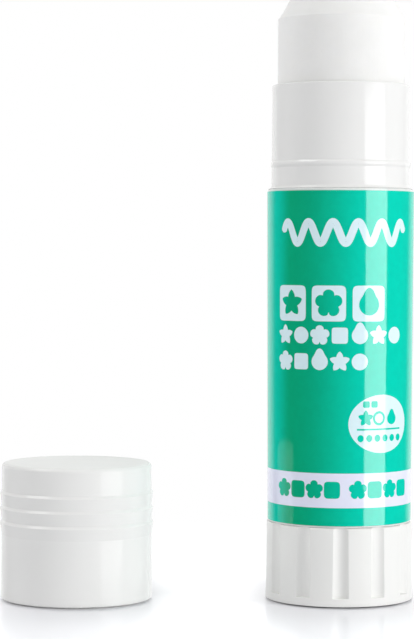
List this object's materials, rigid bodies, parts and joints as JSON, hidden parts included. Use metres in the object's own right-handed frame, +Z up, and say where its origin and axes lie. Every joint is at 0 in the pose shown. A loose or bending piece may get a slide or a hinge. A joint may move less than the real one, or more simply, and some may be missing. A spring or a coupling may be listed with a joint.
{
  "type": "glue stick",
  "caption": "Twist-up glue stick: white drafted barrel with a green film label, narrower neck, fluted knob at the foot, glue wound out of the mouth, push-on cap stood beside it.",
  "frame": {"origin": "centre of the knob's flat underside, where the stick stands", "axes": "+Z up along the axis of the stick, +X from the cap towards the stick, -Y towards the viewer of the picture"},
  "size_m": [0.071, 0.0272, 0.1028],
  "materials": {
    "barrel_white": "glossy moulded polypropylene",
    "knob_white": "satin moulded polypropylene",
    "cap_white": "glossy moulded polypropylene",
    "inner_white": "as moulded, natural",
    "label_film": "gloss printed film",
    "glue": "smooth waxy glue"
  },
  "bodies": {
    "barrel": {"barrel": "barrel_white", "label": "label_film"},
    "knob": {"twist_knob": "knob_white", "lead_screw": "inner_white"},
    "glue": {"carrier_cup": "inner_white", "glue_column": "glue"},
    "cap": {"cap": "cap_white"}
  },
  "joints": [
    {"name": "knob_turn", "type": "hinge", "parent": "barrel", "child": "knob", "pos_m": [0, 0, 0], "axis": [0, 0, 1], "range_deg": [-1620, 2160]},
    {"name": "glue_wind", "type": "slide", "parent": "barrel", "child": "glue", "axis": [0, 0, 1], "range_m": [-0.02251, 0.03001]},
    {"name": "cap_lift", "type": "slide", "parent": "barrel", "child": "cap", "axis": [0, 0, 1], "range_m": [0, 0.105]}
  ],
  "couplings": [
    {"joint": "glue_wind", "follows": "knob_turn", "m_per_rad": 0.00079577}
  ]
}
